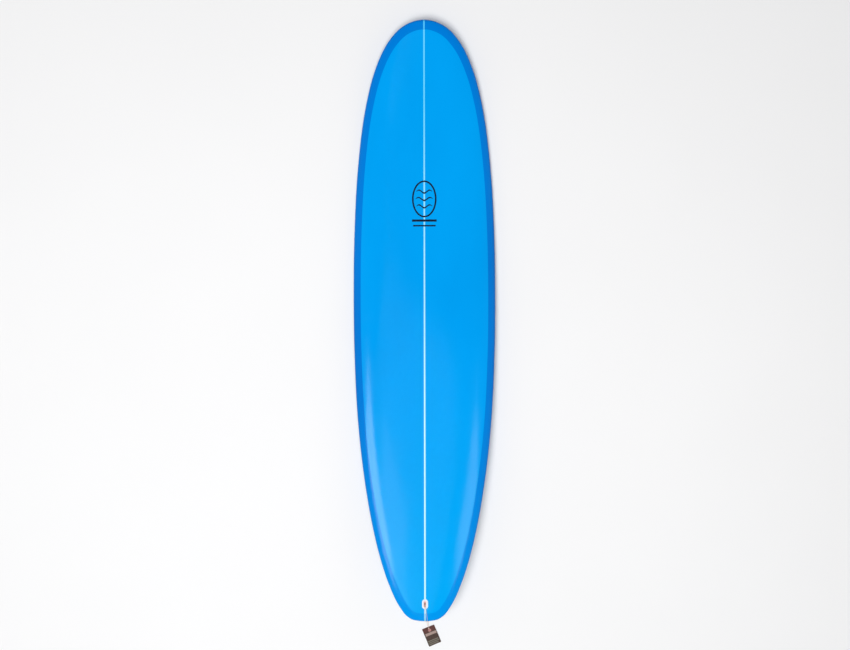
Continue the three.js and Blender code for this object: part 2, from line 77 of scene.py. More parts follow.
CENTRE_BOX_Y = -0.979
CENTRE_BOX = (0.027, 0.27, 0.025)  # width, length and depth
CENTRE_SLOT = (0.0095, 0.25, 0.022)
CENTRE_GROOVE = (0.016, 0.244, 0.007, 0.011)  # width, length, and the depths that it lies between
GROOVE_CORNER = 0.0004
CENTRE_ENTRY = (0.016, 0.108)
CENTRE_FIN = dict(
    depth=0.12, chord=0.116, rake=0.088, thickness=0.008, inside_share=0.5,
    tab=(0.0088, 0.15, 0.02), tongue=(0.026, 0.0034, 0.0066), offset=-0.013,
)
FIN_SCREW_AHEAD = 0.088
FIN_SCREW_HOLE = (0.005, -0.005, 0.015)  # diameter, and the depths that it lies between
ROLL_PIN_HOLE = (0.0038, 0.02, -0.058, 0.009)  # diameter, length, y and depth

SIDE_BOX_AT = (0.17, -0.834)
SIDE_BOX = (0.018, 0.124, 0.019)
SIDE_SLOT = (0.007, 0.104, 0.016)
SIDE_SLOT_CORNER = 0.001
SLOT_OFFSET = -0.008
TOE = math.radians(2.5)
CANT = math.radians(6)
SIDE_FIN = dict(
    depth=0.113, chord=0.108, rake=0.084, thickness=0.0066, inside_share=0.2,
    tab=(0.0064, 0.103, 0.0145), tongue=None, offset=SLOT_OFFSET,
)
GRUB_HOLE = (0.0052, 0.056, math.radians(45))  # diameter, y of its mouth, and lean
GRUB_HOLE_REACH = (-0.006, 0.018)
GAP = 0.0003

# A fin's form: how much it narrows to the tip, how round the tip is, how its rake grows, and its thinnest.
FIN_TAPER = 0.75
FIN_TIP_POWER = 8
FIN_RAKE_POWER = 1.55
FIN_THINNEST = 0.001
FOIL_SWELL = 2.6  # gives the foil its full thickness where it is widest

DECAL_Y = 0.502
DECAL_SIZE = (0.1, 0.15)

TAG_AT = (0.0275, -1.32)
TAG_SIZE = (0.055, 0.08, 0.0008)
TAG_TURN = math.radians(22.5)
TAG_HOLE = (0.006, 0.007)  # diameter and distance of its centre from the top edge
TAG_ABOVE_FLOOR = 0.0006

STRING_DIAMETER = 0.0016

# The string's two sides. Each starts in front of the plug's pin. The left goes under it, the right over it.
LEFT_STRING = [
    (-0.0002, -1.1434, 0.0815), (-0.0005, -1.1447, 0.0792), (-0.001, -1.147, 0.0783),
    (-0.0014, -1.1494, 0.0793), (-0.0016, -1.1509, 0.0819), (-0.0016, -1.1517, 0.0852),
    (-0.0015, -1.1545, 0.0883), (-0.0013, -1.16, 0.0894), (-0.001, -1.172, 0.0894),
    (-0.0004, -1.19, 0.0893), (0, -1.206, 0.0892), (0.0002, -1.2146, 0.0872), (0.0003, -1.2204, 0.082),
    (0.0004, -1.2224, 0.075), (0.0005, -1.2229, 0.06), (0.0007, -1.2236, 0), (0.0008, -1.2246, -0.055),
    (0.001, -1.2266, -0.075), (0.0016, -1.2315, -0.0848), (0.0026, -1.2405, -0.089),
    (0.0056, -1.257, -0.0903), (0.0108, -1.276, -0.0907), (0.0129, -1.2835, -0.0908),
    (0.0137, -1.2876, -0.091), (0.0139, -1.2899, -0.0926),
]
RIGHT_STRING = [
    (0.0002, -1.1434, 0.0823), (0.0004, -1.1444, 0.0845), (0.0009, -1.1465, 0.0856),
    (0.0013, -1.1492, 0.0861), (0.0017, -1.153, 0.0882), (0.0023, -1.16, 0.0894),
    (0.0038, -1.172, 0.0894), (0.0063, -1.19, 0.0893), (0.0086, -1.206, 0.0892),
    (0.0096, -1.2144, 0.0871), (0.01, -1.2202, 0.082), (0.0102, -1.2223, 0.075),
    (0.0103, -1.2229, 0.06), (0.0108, -1.2237, 0), (0.0111, -1.2249, -0.055), (0.0114, -1.2272, -0.075),
    (0.012, -1.2325, -0.0848), (0.0126, -1.2415, -0.089), (0.0136, -1.258, -0.0902),
    (0.015, -1.276, -0.0907), (0.0157, -1.2835, -0.0908), (0.0159, -1.2876, -0.091),
    (0.0159, -1.2899, -0.0926),
]
STRING_TWIST = 0.005  # length of one full turn of its two plies
PLY_GROOVE = 0.16  # depth of the groove between the plies, as a share of the radius
STRING_STEP = 0.0006
STRING_SIDES = 12
TWINE_CREASE = 80  # degrees
KNOT_STEPS = 160
KNOT_SIZE = 0.0008
KNOT_AT = (0.0149, -1.2897, -0.0909)


# ---- Dimensions that only the finer shapes have ----

# What is cut out of the laminates: width, length and corner radius, and from which height to which.
PLUG_POCKET = (PLUG_RIM[0] + GAP, PLUG_RIM[1] + GAP, PLUG_RIM[0])
CENTRE_BOX_POCKET = (CENTRE_BOX[0] + GAP, CENTRE_BOX[1] + GAP, CENTRE_BOX[0])
SIDE_BOX_POCKET = (SIDE_BOX[0] + GAP, SIDE_BOX[1] + GAP, SIDE_BOX[0])
PLUG_CUT = (-0.01, 0.01)
CENTRE_BOX_CUT = (-0.02, 0.02)
SIDE_BOX_CUT = (-0.02, 0.012)
CUT_MARGIN = 0.001  # how far a cut starts outside a face, and a joined block inside its neighbour

PLUG_EDGE = 0.0007  # roundings of moulded edges
BOX_EDGE = 0.0005
TAB_EDGE = 0.0008
PAINT_MARGIN = 0.0004
EDGE_STEPS = 4
CORNER_STEPS = 10
FIN_ROWS = 40
FIN_SIDE_STEPS = 20
FIN_CREASE = 40  # degrees

DECAL_PROUD = 0.0001
DECAL_STROKE = 0.0065
DECAL_WAVE_SPACING = 0.03
DECAL_WAVE_HEIGHT = 0.006
DECAL_WAVES = 1.5  # in each row
DECAL_WAVE_INSET = 2.2  # strokes between a wave's end and the oval's outer edge
DECAL_WAVE_TAPER = 0.4
OVAL_STEPS, WAVE_STEPS, BAR_STEPS = 120, 60, 24
DECAL_BARS = ((0.414, 0.1, 0.009), (0.393, 0.092, 0.006))  # y, width and height

TAG_CORNER = 0.003
TAG_CURL = 0.003
TAG_COLUMNS, TAG_ROWS = 27, 41
TAG_CUT = (-0.001, 0.002)


# ---- Looks ----

TAG_BROWNS = ((0.045, 0.026, 0.02), (0.075, 0.045, 0.034))
TAG_FIBRES = 0.0015  # how far across they are
TAG_BUMP = (0.15, 0.0001)  # strength and height
TAG_PRINT_WORN = 0.75  # how much print is left where it is most worn
TAG_PRINT_BLUR = 0.0006
TAG_DISC_BLUR = 0.0004

# Printed blocks on the tag: their ranges of X and Y on it, and their colours.
TAG_BLOCKS = (
    ((-0.0285, 0.0285), (0.018, 0.041), (0.1, 0.035, 0.03)),
    ((-0.023, 0.025), (0.004, 0.015), (0.4, 0.29, 0.25)),
    ((-0.024, 0.022), (-0.021, -0.017), (0.19, 0.18, 0.14)),
    ((-0.024, 0.024), (-0.028, -0.024), (0.17, 0.165, 0.13)),
    ((-0.024, 0.018), (-0.035, -0.031), (0.19, 0.18, 0.14)),
)
TAG_DISC_AT = (0.001, 0.0245, 0)
TAG_DISC_RADIUS = 0.0065
TAG_DISC_COLOUR = (0.42, 0.2, 0.18)

# Colours of the resin, in its deeper and its lighter patches, and at the very tail.
DECK_DEEP, DECK_LIGHT, DECK_AT_TAIL = (0.0, 0.3, 0.78), (0.0, 0.34, 0.85), (0.0, 0.36, 0.84)
LAP_DEEP, LAP_LIGHT, LAP_AT_TAIL = (0.0, 0.17, 0.6), (0.0, 0.2, 0.68), (0.0, 0.28, 0.78)
RESIN_ROUGHNESS, RESIN_ROUGHNESS_VARIES = 0.13, 0.03
DECK_GLOSS, LAP_GLOSS = 0.17, 0.12  # specular levels
RESIN_CLOUDS, RESIN_PATCHES, CLOTH_THREADS = 0.35, 0.06, 0.002  # how far across each is
CLOUDS_SHOW, THREADS_SHOW = 0.85, 0.12  # how far each takes the tint from deep to light
THREAD_THINNESS = 0.15  # a thread's width as a share of its length
RESIN_WAVES = (0.05, 0.25, 0.0004)  # size, strength and height of the slight waves in the gloss
LIGHTER_TOWARDS_TAIL = (-0.3, -HALF_LENGTH)  # the stretch of y over which the colour turns lighter towards the tail
WOOD_PALES = (0.9, -0.4)  # the stretch of y over which the stringer shows paler
WOOD_GRAIN, WOOD_GRAIN_SHOWS = 0.02, 0.35
UNEVENNESS = 0.15  # how much a plain stuff's roughness varies, as a share of it

NOISE_RANGE = (0.3, 0.7)  # where most of a noise texture's values lie

FLOOR_SIZE = 16
FLOOR_FADES = (2.6, 5)  # how far out it starts and ends to fade into the backdrop
FLOOR_DARK, FLOOR_LIGHT = (0.84, 0.84, 0.845), (0.87, 0.87, 0.875)
FLOOR_ROUGHNESS, FLOOR_GLOSS, FLOOR_PATCHES = 0.75, 0.2, 0.8
SKY_BELOW, SKY_SIDES, SKY_TOP = 0.5, 0.4, 0.03
HORIZON = (-0.2, 0.2)  # the directions' z over which the sky turns from below to sides
DARK_OVERHEAD = (0.5, 0.9)  # and from sides to top
BACKDROP = 0.93  # how bright the sky looks to the camera
# Name, place, size and power of each soft box, and whether it lights the gloss or everything else.
SOFT_BOXES = (
    ("overhead", (-0.9, -1.5, 8), (3.8, 3.8), 665, False),
    ("gloss_left", (-2.5, -1.5, 4.2), (1.7, 1.5), 80, True),
    ("gloss_left_inner", (-1.15, -1.55, 4.4), (1.1, 1.5), 10, True),
    ("gloss_right", (2.0, -1.5, 4.2), (1.3, 1.3), 22, True),
)


# ---- How finely things are made ----

SAME_PLACE = 1e-6  # points closer than this are joined
LOFT_SAME_PLACE = 1e-7
TINY = 1e-9  # keeps a division off zero
SHARP_EDGE = 35  # degrees

# How finely the hull's surface is divided.
DECK_ROWS = 220
DECK_COLUMNS = 30  # from the stringer to the lap
TIP_ROWS = 36
LAP_COLUMNS = 12
BOTTOM_COLUMNS = 18
FLAT_COLUMNS = 8
LAP_EDGE_POINTS = 6001
SLOPE_STEP = 0.0005
BOTTOM_SLOPE_STEP = 0.001
RESTING_POINTS = 2001

# The camera looks straight down on the deck, the nose at the top of the picture.
CAMERA_AT = (0.002, -0.0117, 5.104)
CAMERA_LENS = 52.26
CAMERA_ROLL = -0.0019


# ---- Camera ----

def make_camera():
    data = bpy.data.cameras.new("camera")
    data.lens = CAMERA_LENS
    camera = bpy.data.objects.new("camera", data)
    camera.location = CAMERA_AT
    camera.rotation_euler = (0, 0, CAMERA_ROLL)
    bpy.context.scene.collection.objects.link(camera)
    bpy.context.scene.camera = camera


# ---- Mesh helpers ----

def add_object(name, points, faces, frame_of_piece=Matrix.Identity(4)):
    mesh = bpy.data.meshes.new(name)
    mesh.from_pydata([tuple(map(float, p)) for p in points], [], [tuple(map(int, f)) for f in faces])
    obj = bpy.data.objects.new(name, mesh)
    obj.matrix_world = frame_of_piece
    bpy.context.scene.collection.objects.link(obj)
    return obj


def edit(obj, change):
    """Lets a function change an object's mesh as a bmesh."""
    bm = bmesh.new()
    bm.from_mesh(obj.data)
    change(bm)
    bm.to_mesh(obj.data)
    bm.free()


def weld(obj, distance=SAME_PLACE):
    def change(bm):
        bmesh.ops.remove_doubles(bm, verts=bm.verts, dist=distance)
        bmesh.ops.dissolve_degenerate(bm, edges=bm.edges, dist=distance)
        bmesh.ops.recalc_face_normals(bm, faces=bm.faces)
    edit(obj, change)


def shade(obj, sharp_degrees=SHARP_EDGE):
    """Smooth shading, with edges that turn by more than an angle kept crisp."""
    def change(bm):
        for face in bm.faces:
            face.smooth = True
        for edge in bm.edges:
            edge.smooth = edge.calc_face_angle(0) < math.radians(sharp_degrees)
    edit(obj, change)


def apply_modifiers(obj):
    graph = bpy.context.evaluated_depsgraph_get()
    mesh = bpy.data.meshes.new_from_object(obj.evaluated_get(graph))
    obj.modifiers.clear()
    obj.data = mesh


def boolean(obj, operation, *tools):
    for tool in tools:
        modifier = obj.modifiers.new(operation, "BOOLEAN")
        modifier.operation = operation
        modifier.solver = "EXACT"
        modifier.object = tool
        apply_modifiers(obj)
        bpy.data.objects.remove(tool)
    weld(obj)


def grid_faces(rows, columns, wrap=False):
    faces = []
    for r in range(rows - 1):
        for c in range(columns if wrap else columns - 1):
            d = (c + 1) % columns
            faces.append((r * columns + c, r * columns + d, (r + 1) * columns + d, (r + 1) * columns + c))
    return faces


def loft(name, rings, frame_of_piece=Matrix.Identity(4)):
    """A closed skin over rings that all have the same number of points."""
    count = len(rings[0])
    faces = grid_faces(len(rings), count, wrap=True)
    last = (len(rings) - 1) * count
    faces.append(tuple(reversed(range(count))))
    faces.append(tuple(range(last, last + count)))
    obj = add_object(name, [p for ring in rings for p in ring], faces, frame_of_piece)
    weld(obj, LOFT_SAME_PLACE)
    return obj


def rounded_ring(width, length, radius, z, y=0):
    """A rectangle with rounded corners at height z; an oval where the radius is half the width."""
    radius = min(radius, width / 2)
    ring = []
    for corner, (sx, sy) in enumerate(((1, 1), (-1, 1), (-1, -1), (1, -1))):
        for i in range(CORNER_STEPS + 1):
            angle = (corner + i / CORNER_STEPS) * math.pi / 2
            px = sx * (width / 2 - radius) + radius * math.cos(angle)
            py = sy * (length / 2 - radius) + radius * math.sin(angle)
            ring.append((px, y + py, z))
    return ring


def column(width, length, radius, low, high, place=Matrix.Identity(4), y=0):
    """A plain prism with rounded corners, used to cut or to join."""
    rings = [rounded_ring(width, length, radius, z, y) for z in (low, high)]
    return loft("column", rings, place)


def crosswise_rod(diameter, length, y, z, place):
    turned = place @ Matrix.Translation((0, y, z)) @ Matrix.Rotation(math.pi / 2, 4, "Y")
    return column(diameter, diameter, diameter / 2, -length / 2, length / 2, turned)


def finished(obj, body, cad_node, slot, *materials):
    """Gives a piece its finish, puts it on the body that it rides on, and hides the CAD node that it stands
    for.
    """
    for index, material in enumerate(materials):
        if index < len(obj.data.materials):
            obj.data.materials[index] = material
        else:
            obj.data.materials.append(material)
    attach(obj, body)
    if cad_node:
        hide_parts(cad_node)
    return obj


# ---- The string's line ----

def through(points, step):
    """Points a step apart on a smooth curve through points."""
    points = [Vector(p) for p in points]
    points = [2 * points[0] - points[1], *points, 2 * points[-1] - points[-2]]
    line = []
    for p0, p1, p2, p3 in zip(points, points[1:], points[2:], points[3:]):
        d0, d1, d2 = ((b - a).length ** 0.5 for a, b in ((p0, p1), (p1, p2), (p2, p3)))
        leave = ((p1 - p0) / d0 - (p2 - p0) / (d0 + d1) + (p2 - p1) / d1) * d1
        arrive = ((p2 - p1) / d1 - (p3 - p1) / (d1 + d2) + (p3 - p2) / d2) * d1
        count = max(2, math.ceil((p2 - p1).length / step))
        for i in range(count):
            t = i / count
            rise = p1 * (1 - t) ** 2 * (1 + 2 * t) + p2 * t ** 2 * (3 - 2 * t)
            line.append(rise + leave * t * (1 - t) ** 2 - arrive * t ** 2 * (1 - t))
    line.append(points[-2])
    return line


def twisted_tube(name, line, diameter):
    """A tube of two plies twisted together, along a line."""
    side = Vector((1, 0.1, 0.2))  # any direction that no line starts in
    travelled = 0
    rings = []
    for i, point in enumerate(line):
        ahead = line[min(i + 1, len(line) - 1)]
        behind = line[max(i - 1, 0)]
        along = (ahead - behind).normalized()
        side = (side - along * side.dot(along)).normalized()
        up = along.cross(side)
        travelled += (point - line[i - 1]).length if i else 0
        turn = 2 * math.pi * travelled / STRING_TWIST
        ring = []
        for k in range(STRING_SIDES):
            angle = 2 * math.pi * k / STRING_SIDES
            radius = diameter / 2 * (1 - PLY_GROOVE + PLY_GROOVE * math.cos(2 * angle))
            ring.append(point + radius * (math.cos(angle + turn) * side + math.sin(angle + turn) * up))
        rings.append(ring)
    return loft(name, rings)


def make_string(name, route, with_pieces=()):
    line = through(route, STRING_STEP)
    obj = twisted_tube(name + "_twine", line, STRING_DIAMETER)
    shade(obj, TWINE_CREASE)
    finished(obj, "board", name, "twine", TWINE)


def make_knot():
    """The overhand knot that ties the string's two ends at the tag's hole."""
    line = []
    for i in range(KNOT_STEPS + 1):
        t = 2 * math.pi * i / KNOT_STEPS
        x = math.sin(t) + 2 * math.sin(2 * t)
        y = math.cos(t) - 2 * math.cos(2 * t)
        z = -math.sin(3 * t)
        line.append(Vector(KNOT_AT) + KNOT_SIZE * Vector((x, y, z)))
    obj = twisted_tube("string_knot", line, STRING_DIAMETER)
    shade(obj, TWINE_CREASE)
    return finished(obj, "board", None, "twine", TWINE)


# ---- The hull's form ----

def curve_through(points, place):
    """The values at some places on a smooth curve through points: a cubic between each two."""
    at = np.array([p[0] for p in points], float)
    value = np.array([p[1] for p in points], float)
    span = np.diff(at)
    steep = np.diff(value) / span
    slope = np.empty_like(value)
    slope[0], slope[-1] = steep[0], steep[-1]
    slope[1:-1] = (span[1:] * steep[:-1] + span[:-1] * steep[1:]) / (span[1:] + span[:-1])
    i = np.clip(np.searchsorted(at, place) - 1, 0, len(span) - 1)
    t = (place - at[i]) / span[i]
    ease = t * t * (3 - 2 * t)
    rise = value[i] * (1 - ease) + value[i + 1] * ease
    return rise + span[i] * t * (1 - t) * (slope[i] * (1 - t) - slope[i + 1] * t)


# The square of the half width runs smoothly through the tips, which makes them round.
SQUARED_OUTLINE = [(y, half * half) for y, half in OUTLINE]


def half_width(y):
    return np.sqrt(np.maximum(curve_through(SQUARED_OUTLINE, np.asarray(y, float)), 0))


def bottom_rise(y):
    y = np.asarray(y, float)
    beyond = np.maximum(np.abs(y) - ROCKER_FLAT, 0) / (HALF_LENGTH - ROCKER_FLAT)
    nose = NOSE_ROCKER[0] * beyond ** NOSE_ROCKER[1]
    tail = TAIL_ROCKER[0] * beyond ** TAIL_ROCKER[1]
    return np.where(y > 0, nose, tail)


def thickness(y):
    y = np.asarray(y, float)
    ahead = y > FULLEST_AT
    end = np.where(ahead, HALF_LENGTH, -HALF_LENGTH)
    thin = np.where(ahead, NOSE_THICKNESS, TAIL_THICKNESS)
    along = (y - FULLEST_AT) / (end - FULLEST_AT)
    return thin + (FULL_THICKNESS - thin) * (1 - np.abs(along) ** THICKNESS_POWER)


def rail_height(y):
    return bottom_rise(y) + RAIL_LINE * thickness(y)


def rounded_thickness(y):
    short = np.maximum(1 - (HALF_LENGTH - np.abs(y)) / END_ROUNDING, 0)
    return thickness(y) * np.sqrt(np.maximum(1 - short * short, 0))


def deck_height(x, y):
    share = np.clip(np.abs(x) / np.maximum(half_width(y), TINY), 0, 1)
    return rail_height(y) + (1 - RAIL_LINE) * rounded_thickness(y) * np.sqrt(1 - share ** DECK_POWER)


def bottom_height(x, y):
    share = np.abs(x) / np.maximum(half_width(y), TINY)
    past_flat = np.clip((share - BOTTOM_FLAT) / (1 - BOTTOM_FLAT), 0, 1)
    return rail_height(y) - RAIL_LINE * rounded_thickness(y) * np.sqrt(1 - past_flat ** BOTTOM_POWER)


def slope_of_bottom(y):
    step = BOTTOM_SLOPE_STEP
    return float(bottom_rise(y + step) - bottom_rise(y - step)) / (2 * step)


def eased(count):
    """Shares from -1 to 1 that lie closer together towards both ends."""
    return -np.cos(np.linspace(0, math.pi, count))


def lap_edge():
    """Points (half width, y) of the line where the bottom laminate's lap ends on the deck."""
    y = HALF_LENGTH * eased(LAP_EDGE_POINTS)[1:-1]
    step = SLOPE_STEP
    slope = (half_width(y + step) - half_width(y - step)) / (2 * step)
    wider_at_nose = (LAP_NOSE - LAP_SIDE) * np.maximum(y / HALF_LENGTH, 0) ** LAP_NOSE_POWER
    wider_at_tail = (LAP_BACK - LAP_SIDE) * np.maximum(-y / HALF_LENGTH, 0) ** LAP_BACK_POWER
    lap = LAP_SIDE + wider_at_nose + wider_at_tail
    size = np.hypot(1, slope)
    x, edge_y = half_width(y) - lap / size, y + lap * slope / size
    tail, nose = LAP_BACK - HALF_LENGTH, HALF_LENGTH - LAP_NOSE
    inside = (x > 0) & (edge_y > tail) & (edge_y < nose)
    order = np.argsort(edge_y[inside])
    return np.array([(0, tail), *zip(x[inside][order], edge_y[inside][order]), (0, nose)])


LAP_EDGE = lap_edge()
LAP_TAIL, LAP_HEAD = LAP_EDGE[0, 1], LAP_EDGE[-1, 1]


def lap_x(y):
    return np.sqrt(np.interp(y, LAP_EDGE[:, 1], LAP_EDGE[:, 0] ** 2, left=0, right=0))


def deck_rows():
    return (LAP_HEAD + LAP_TAIL) / 2 + (LAP_HEAD - LAP_TAIL) / 2 * eased(DECK_ROWS)


def steps_to(count, last):
    """Shares of a quarter turn from the first step to the last."""
    return np.linspace(0, last, count + 1)[None, 1:]


# ---- The two laminates ----

def mirrored(name, x, y, z):
    """A surface over a right half's rows of points and their mirror image."""
    right = np.stack([x, y, z], axis=-1).reshape(-1, 3)
    faces = grid_faces(*x.shape)
    other = [tuple(i + len(right) for i in reversed(face)) for face in faces]
    obj = add_object(name, np.concatenate([right, right * (-1, 1, 1)]), faces + other)
    weld(obj)
    return obj


def make_solid(obj):
    """Gives a laminate its thickness, inwards, and the strip over the stringer its second material."""
    for polygon in obj.data.polygons:
        reach = max(abs(obj.data.vertices[i].co.x) for i in polygon.vertices)
        polygon.material_index = 1 if reach < STRINGER_SHOWS + SAME_PLACE else 0
    obj.data.materials.append(None)
    obj.data.materials.append(None)
    modifier = obj.modifiers.new("thickness", "SOLIDIFY")
    modifier.thickness = LAMINATE
    modifier.offset = -1
    apply_modifiers(obj)


def make_deck_laminate():
    rows = deck_rows()
    edge = lap_x(rows)[:, None]
    strip = np.minimum(STRINGER_SHOWS, edge / 2)
    out = np.sin(steps_to(DECK_COLUMNS, math.pi / 2))
    x = np.concatenate([np.zeros_like(edge), strip, strip + (edge - strip) * out], axis=1)
    y = np.repeat(rows[:, None], x.shape[1], axis=1)
    obj = mirrored("deck_glassing", x, y, deck_height(x, y))
    make_solid(obj)
    boolean(obj, "DIFFERENCE", column(*PLUG_POCKET, *PLUG_CUT, PLUG_FRAME))
    shade(obj)
    finished(obj, "board", "deck_laminate", "tinted_deck", DECK_TINT, STRINGER_THROUGH_DECK)


def lap_points(rows):
    """The right half of the lap, from its edge on the deck out to the rail's widest line."""
    half, inner = half_width(rows)[:, None], lap_x(rows)[:, None]
    strip = np.where(inner > 0, 0, np.minimum(STRINGER_SHOWS, half))
    first = np.arccos(np.clip(inner / np.maximum(half, TINY), 0, 1) ** (DECK_POWER / 2))
    angle = first * (1 - steps_to(LAP_COLUMNS, 1))
    x = np.concatenate([inner, np.maximum(inner, strip), half * np.cos(angle) ** (2 / DECK_POWER)], axis=1)
    x = np.minimum(np.maximum.accumulate(x, axis=1), half)
    y = np.repeat(rows[:, None], x.shape[1], axis=1)
    return x, y, deck_height(x, y)


def bottom_points(rows):
    """The right half of the bottom, from below the rail's widest line in to the middle."""
    half = half_width(rows)[:, None]
    flat = BOTTOM_FLAT * half
    strip = np.minimum(STRINGER_SHOWS, flat)
    angle = math.pi / 2 - steps_to(BOTTOM_COLUMNS, math.pi / 2)
    curl = flat + (half - flat) * np.maximum(np.sin(angle), 0) ** (2 / BOTTOM_POWER)
    level = flat + (strip - flat) * steps_to(FLAT_COLUMNS, 1)
    x = np.concatenate([curl, level, np.zeros_like(half)], axis=1)
    y = np.repeat(rows[:, None], x.shape[1], axis=1)
    return x, y, bottom_height(x, y)


def make_bottom_laminate():
    towards_tip = np.sin(steps_to(TIP_ROWS, math.pi / 2))[0]
    nose = LAP_HEAD + (HALF_LENGTH - LAP_HEAD) * towards_tip
    tail = LAP_TAIL - (HALF_LENGTH + LAP_TAIL) * towards_tip
    rows = np.concatenate([tail[::-1], deck_rows(), nose])
    parts = zip(lap_points(rows), bottom_points(rows))
    obj = mirrored("bottom_glassing", *(np.concatenate(part, axis=1) for part in parts))
    make_solid(obj)
    boolean(obj, "DIFFERENCE", column(*CENTRE_BOX_POCKET, *CENTRE_BOX_CUT, CENTRE_FRAME))
    for side in (-1, 1):
        boolean(obj, "DIFFERENCE", column(*SIDE_BOX_POCKET, *SIDE_BOX_CUT, side_frame(side)))
    shade(obj)
    finished(obj, "board", "bottom_laminate", "tinted_lap", LAP_TINT, STRINGER_THROUGH_LAP)


# ---- Frames that the fittings are made in ----

PLUG_FRAME = Matrix.Translation((0, PLUG_Y, float(deck_height(0, PLUG_Y)) + PLUG_PROUD))
CENTRE_FRAME = (
    Matrix.Translation((0, CENTRE_BOX_Y, float(bottom_rise(CENTRE_BOX_Y))))
    @ Matrix.Rotation(math.atan(slope_of_bottom(CENTRE_BOX_Y)), 4, "X")
)


def side_frame(side):
    x, y = SIDE_BOX_AT
    return (
        Matrix.Translation((side * x, y, float(bottom_height(x, y))))
        @ Matrix.Rotation(side * TOE, 4, "Z")
        @ Matrix.Rotation(math.atan(slope_of_bottom(y)), 4, "X")
        @ Matrix.Rotation(-side * CANT, 4, "Y")
    )


def resting_surface():
    """The height and slope of the surface that the board lies on, on the side fins' tips and the belly."""
    depth, rake = SIDE_FIN["depth"] + GAP, SIDE_FIN["rake"]
    tip = side_frame(1) @ Vector((0, SLOT_OFFSET - rake, -depth))
    ahead = np.linspace(0, HALF_LENGTH, RESTING_POINTS)
    slope = float(np.min((bottom_rise(ahead) - tip.z) / (ahead - tip.y)))
    return tip.z - slope * tip.y, slope


FLOOR_AT, FLOOR_SLOPE = resting_surface()
TAG_FRAME = (
    Matrix.Translation((*TAG_AT, FLOOR_AT + FLOOR_SLOPE * TAG_AT[1] + TAG_ABOVE_FLOOR))
    @ Matrix.Rotation(math.atan(FLOOR_SLOPE), 4, "X")
    @ Matrix.Rotation(TAG_TURN, 4, "Z")
)


# ---- The leash plug and the fin boxes ----

def cup_rings(width, length, radius, mouth, depth, rounding, y=0):
    """Rings from a rounded mouth at height mouth down (or up) to the bottom of a cup."""
    way = math.copysign(1, depth - mouth)
    rings = []
    for i in range(EDGE_STEPS + 1):
        angle = i / EDGE_STEPS * math.pi / 2
        wider = 2 * rounding * (1 - math.sin(angle))
        down = rounding * (1 - math.cos(angle))
        rings.append(rounded_ring(width + wider, length + wider, radius + wider / 2, mouth + way * down, y))
    for i in range(EDGE_STEPS + 1):
        angle = i / EDGE_STEPS * math.pi / 2
        narrower = 2 * rounding * (1 - math.cos(angle))
        up = rounding * (1 - math.sin(angle))
        rings.append(rounded_ring(width - narrower, length - narrower, radius, depth - way * up, y))
    return rings


def edge_rings(width, length, face, rounding, way):
    """Rings of an oval's outer edge, rounded where it meets a flat face."""
    rings = []
    for i in range(EDGE_STEPS + 1):
        angle = i / EDGE_STEPS * math.pi / 2
        narrower = 2 * rounding * (1 - math.cos(angle))
        down = rounding * (1 - math.sin(angle))
        size = (width - narrower, length - narrower)
        rings.append(rounded_ring(*size, width / 2, face + way * down))
    return rings


def paint_inside(obj, width, length, deep):
    """The second material on the faces inside a cup of a width and length, below a depth."""
    for polygon in obj.data.polygons:
        x, y, z = polygon.center
        inside = abs(x) < width / 2 and abs(y) < length / 2
        polygon.material_index = 1 if inside and abs(z) > deep else 0


def make_leash_plug():
    width, length, thick = PLUG_RIM
    body_width, body_length, body_depth = PLUG_BODY
    cup_width, cup_length, cup_depth = PLUG_CUP
    foot = (body_width - 2 * PLUG_FOOT_EDGE, body_length - 2 * PLUG_FOOT_EDGE)
    rings = [
        rounded_ring(*foot, body_width, -body_depth),
        rounded_ring(body_width, body_length, body_width, -body_depth + PLUG_FOOT_EDGE),
        rounded_ring(body_width, body_length, body_width, -thick),
        rounded_ring(width, length, width, -thick),
        *edge_rings(width, length, 0, PLUG_EDGE, -1),
        *cup_rings(cup_width, cup_length, cup_width / 2, 0, -cup_depth, PLUG_EDGE),
    ]
    obj = loft("leash_plug_moulding", rings, PLUG_FRAME)
    obj.data.materials.append(None)
    obj.data.materials.append(None)
    paint_inside(obj, cup_width + PAINT_MARGIN, cup_length + PAINT_MARGIN, PLUG_EDGE / 2)
    boolean(obj, "DIFFERENCE", crosswise_rod(*PIN_HOLE, 0, -PIN_BELOW, PLUG_FRAME))
    shade(obj)
    finished(obj, "board", "leash_plug", "white_plastic", WHITE_PLASTIC, CUP_LINING)


def make_centre_box():
    width, length, depth = CENTRE_BOX
    slot_width, slot_length, slot_depth = CENTRE_SLOT
    groove_width, groove_length, groove_from, groove_to = CENTRE_GROOVE
    entry_width, entry_y = CENTRE_ENTRY
    rings = [
        rounded_ring(width, length, width / 2, depth),
        *edge_rings(width, length, 0, BOX_EDGE, 1),
        *cup_rings(slot_width, slot_length, slot_width / 2, 0, slot_depth, BOX_EDGE),
    ]
    obj = loft("centre_fin_box_moulding", rings, CENTRE_FRAME)
    groove = column(groove_width, groove_length, GROOVE_CORNER, groove_from, groove_to, CENTRE_FRAME)
    entry = column(entry_width, entry_width, entry_width / 2, -CUT_MARGIN, groove_to, CENTRE_FRAME, entry_y)
    boolean(obj, "DIFFERENCE", groove, entry)
    shade(obj)
    finished(obj, "board", "centre_fin_box", "white_plastic", WHITE_PLASTIC)


